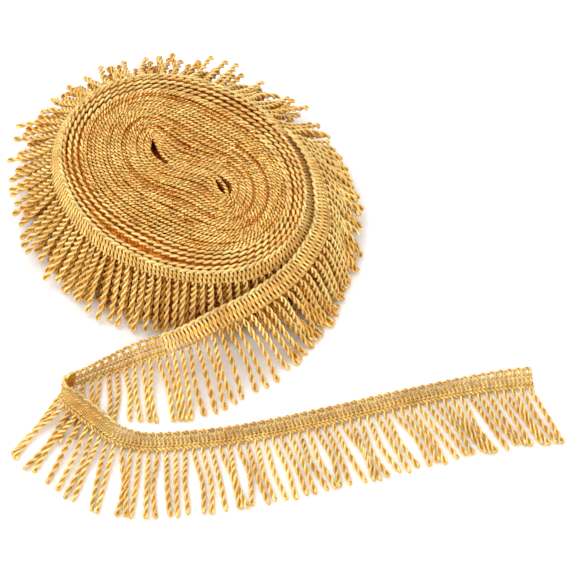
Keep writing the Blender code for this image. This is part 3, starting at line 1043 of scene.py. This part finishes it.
class FRINGE_OT_skirts(bpy.types.Operator):
    """Hang the strands of the outer turns, which flare out all round under the heading."""

    bl_idname = "fringe.skirts"
    bl_label = "Skirts of strands"

    def execute(self, context):
        guide = outer_guide()
        for index, (name, layer) in enumerate(LAYERS.items()):
            rng = np.random.default_rng(SEEDS["skirts"] + index)
            forms = [deepened(form, layer.shade)
                     for form in strand_forms(6.0 * MM, 0.95, 1.36, layer.roundness)]
            count = round(guide_length(guide) / (layer.pitch * MM))
            pulls = bunches(count, rng)
            copies = []
            for k in range(count):
                place = int((k + 0.5) / count * (len(guide.points) - 1))
                out = guide.out[place]
                root = guide.points[place] + guide.rise[place] * ROOT_DEPTH
                way = degrees(atan2(root[1], root[0]))
                root = root - out * (layer.inset * MM) - UP * (layer.drop * MM)
                copies.append(self.strand(root, out, way, layer, pulls[k], forms, rng))
            joined(name, copies, "strand_yarn")
        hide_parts("skirt_upper")
        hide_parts("skirt_under")
        return {"FINISHED"}

    def strand(self, root, out, way, layer, pull, forms, rng):
        """One strand of the skirt; those at the back all fly out, those below hang steeper."""
        lean, droop, sweep = hang_at(way)
        at_back = back_share(radians(way))
        steep = droop + radians(layer.steeper * (1.0 - at_back) - 3.0 * at_back)
        steep += radians(rng.uniform(-1.0, 1.0) * (layer.uneven + 5.0 * at_back))
        first = max((pi / 2.0 - lean) * 0.9, steep * 0.9)
        level = atan2(out[1], out[0]) + sweep * 0.7
        level += radians(rng.uniform(-2.0, 2.0) * (1.0 + 4.0 * at_back))
        drawn = pull * (BUNCH_PULL if layer.shade == 0.0 else radians(1.0))
        wave = radians(rng.uniform(-8.0, 8.0) * (1.0 + 1.4 * at_back))
        return laid(
            forms, rng, root, level, [first, steep, steep * 0.98,
                                     steep * rng.uniform(0.9 - 0.6 * at_back, 1.1 + 0.5 * at_back)],
            [0.0, drawn + wave, drawn - wave, drawn * 1.4 - wave * rng.uniform(-1.0, 1.5)],
            SIZES.strand_length * rng.uniform(0.93, 1.06), SKIRT_FLOOR)


class FRINGE_OT_loose_strands(bpy.types.Operator):
    """Let the loose end's strands fall to the floor and lie there."""

    bl_idname = "fringe.loose_strands"
    bl_label = "Loose strands"

    def execute(self, context):
        forms = strand_forms(5.0 * MM, 1.0, 1.12)
        for index, (name, span) in enumerate(LOOSE_SPANS.items()):
            rng = np.random.default_rng(SEEDS["loose_strands"] + index)
            copies = self.row(span, SIZES.repeat, 2.0, 0.0, forms, rng)
            made = joined(f"loose_strands_{name}", copies, "strand_yarn")
            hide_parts(f"loose_fringe_{name}")
        forms = [deepened(form, 0.6) for form in forms]
        rng = np.random.default_rng(SEEDS["under"])
        copies = self.row(UNDER_SPAN, UNDER_PITCH, 11.0, UNDER_DROP, forms, rng)
        joined("loose_strands_under", copies, "strand_yarn")
        return {"FINISHED"}

    def row(self, span, pitch, uneven, lower, forms, rng):
        """A row of strands from one station to another; an uneven one swings by more degrees."""
        places = even_places(pitch, *span)
        pulls = bunches(len(places), rng)
        return [self.strand(place, pulls[k], uneven, lower, forms, rng) for k, place in enumerate(places)]

    def strand(self, place, pull, uneven, lower, forms, rng):
        """One strand, drawn towards the middle of its bunch, on the floor from where it meets it."""
        root, up, station = station_at(place)
        ahead = station_at(place + 0.05)[0] - station_at(place - 0.05)[0]
        level = radians(station.strand_way + rng.uniform(-uneven, uneven))
        length = station.strand_length * MM * rng.uniform(0.97, 1.03)
        start = root + UP_WAY * LOOSE_ROOT - up * (0.1 * MM)
        if lower:
            start = start - level_way(station.strand_way) * lower
            start.z = max(start.z - lower, LOOSE_ROOT)
        drop = max(0.0, start.z - max(0.0, station.tip_height) * MM - 1.7 * MM)
        steep = asin(min(0.96, drop / length * 1.12))
        sign = 1.0 if level_way(station.strand_way).cross(ahead).z > 0 else -1.0
        pull = sign * pull * BUNCH_PULL
        wave = radians(rng.uniform(-13, 13))
        return laid(
            forms, rng, start, level, [steep * 0.8, steep, steep, steep * 1.1],
            [0.0, pull + wave, pull - wave * 0.6, pull * 1.4 - wave * rng.uniform(-0.5, 1.5)],
            length, LOOSE_FLOOR)


class FRINGE_OT_packed(bpy.types.Operator):
    """Fill the roll with its packed strands: just below the turns on top, and out to the skirts."""

    bl_idname = "fringe.packed"
    bl_label = "Packed strands"

    def execute(self, context):
        rings = len(PACKED_TOPS) + len(PACKED_SIDES) - 1
        mesh = bmesh.new()
        bmesh.ops.create_grid(mesh, x_segments=PACKED_WAYS, y_segments=rings, size=1.0)
        for vert in mesh.verts:
            turn = round((vert.co.x + 1.0) / 2.0 * PACKED_WAYS) / PACKED_WAYS
            ring = round((vert.co.y + 1.0) / 2.0 * rings)
            way = OVAL_WAY + pi - 2.0 * pi * turn
            if ring < len(PACKED_TOPS):
                share = PACKED_TOPS[ring]
                deep = 2.2 + 0.8 * smooth((share - 0.72) / 0.1)
                deep += 8.0 * (1.0 - smooth((share - 0.06) / 0.05))
                vert.co = core_point(turn).lerp(plain_oval(way), share)
                vert.co.z = top_height(share) - deep * MM
            else:
                height, inset = PACKED_SIDES[ring - len(PACKED_TOPS)]
                inset += max(0.0, BACK_INSET - inset) * back_share(way)
                vert.co = oval(way) - oval_normal(way) * (inset * MM)
                vert.co.z = height * MM
        bmesh.ops.remove_doubles(mesh, verts=mesh.verts, dist=1e-5)
        bmesh.ops.holes_fill(mesh, edges=mesh.edges, sides=0)
        bmesh.ops.recalc_face_normals(mesh, faces=mesh.faces)
        data = mesh_data("packed_strands", mesh)
        heights = points_of(data)[:, 2]
        # Painted shade: darker below PACKED_TOP_FROM, lighter above it, over PACKED_TOP_OVER.
        note_points(data, "rim", 0.16 + 0.22 * smooth((heights - PACKED_TOP_FROM) / PACKED_TOP_OVER))
        finished("packed_strands", data, packed_material("packed_yarn"))
        return {"FINISHED"}


class FRINGE_OT_stage(bpy.types.Operator):
    """Set the floor, the soft lights and the camera."""

    bl_idname = "fringe.stage"
    bl_label = "Stage"

    def execute(self, context):
        scene = context.scene
        stage = scene.fringe_stage
        mesh = bmesh.new()
        bmesh.ops.create_grid(mesh, x_segments=1, y_segments=1, size=FLOOR_HALF)
        data = mesh_data("floor", mesh)
        material, tree = painted("floor_paint")
        fed(tree, tree.nodes["Principled BSDF"], Base_Color=(*stage.floor, 1.0), Roughness=0.9)
        data.materials.append(material)
        floor = placed("floor", data)
        world = bpy.data.worlds.new("studio")
        scene.world = world
        world.use_nodes = True
        background = world.node_tree.nodes["Background"]
        fed(world.node_tree, background, Color=(1.0, 1.0, 1.0, 1.0), Strength=stage.sky)
        for name, lamp in LAMPS.items():
            light = bpy.data.lights.new(name, "AREA")
            light.size, light.energy = lamp.size, stage.key * lamp.share
            holder = placed(name, light)
            holder.location = lamp.place
            holder.rotation_euler = (-lamp.place).to_track_quat("-Z", "Y").to_euler()
        camera = bpy.data.cameras.new("camera")
        camera.lens = CAMERA_LENS
        camera.sensor_width = 36.0
        scene.camera = placed("camera", camera)
        scene.camera.location = CAMERA_PLACE
        scene.camera.rotation_euler = (CAMERA_TILT, 0.0, 0.0)
        scene.view_settings.view_transform = "Standard"
        return {"FINISHED"}


class FRINGE_PT_panel(bpy.types.Panel):
    """The sidebar's list of the trim's settings and pieces."""

    bl_label = "Bullion fringe"
    bl_idname = "FRINGE_PT_panel"
    bl_space_type = "VIEW_3D"
    bl_region_type = "UI"
    bl_category = "Fringe"

    def draw(self, context):
        scene = context.scene
        for group in (scene.fringe_sizes, scene.fringe_colours, scene.fringe_stage):
            box = self.layout.box()
            for name in group.__annotations__:
                box.prop(group, name)
        for operator in OPERATORS:
            self.layout.operator(operator.bl_idname)


OPERATORS = (FRINGE_OT_packed, FRINGE_OT_turns, FRINGE_OT_band, FRINGE_OT_outer, FRINGE_OT_skirts,
             FRINGE_OT_loose_heading, FRINGE_OT_loose_strands, FRINGE_OT_stage)
CLASSES = (FringeSizes, FringeColours, FringeStage, *OPERATORS, FRINGE_PT_panel)


def register():
    """Add the trim's classes and settings."""
    for item in CLASSES:
        bpy.utils.register_class(item)
    bpy.types.Scene.fringe_sizes = bpy.props.PointerProperty(type=FringeSizes)
    bpy.types.Scene.fringe_colours = bpy.props.PointerProperty(type=FringeColours)
    bpy.types.Scene.fringe_stage = bpy.props.PointerProperty(type=FringeStage)


def unregister():
    """Take them away again."""
    del bpy.types.Scene.fringe_stage
    del bpy.types.Scene.fringe_colours
    del bpy.types.Scene.fringe_sizes
    for item in reversed(CLASSES):
        bpy.utils.unregister_class(item)


def main():
    """Build the trim piece by piece."""
    global SIZES, COLOURS
    register()
    SIZES = bpy.context.scene.fringe_sizes
    COLOURS = bpy.context.scene.fringe_colours
    bpy.ops.fringe.packed()
    bpy.ops.fringe.turns()
    bpy.ops.fringe.band()
    bpy.ops.fringe.outer()
    bpy.ops.fringe.skirts()
    bpy.ops.fringe.loose_heading()
    bpy.ops.fringe.loose_strands()
    bpy.ops.fringe.stage()


if __name__ == "__main__":
    main()
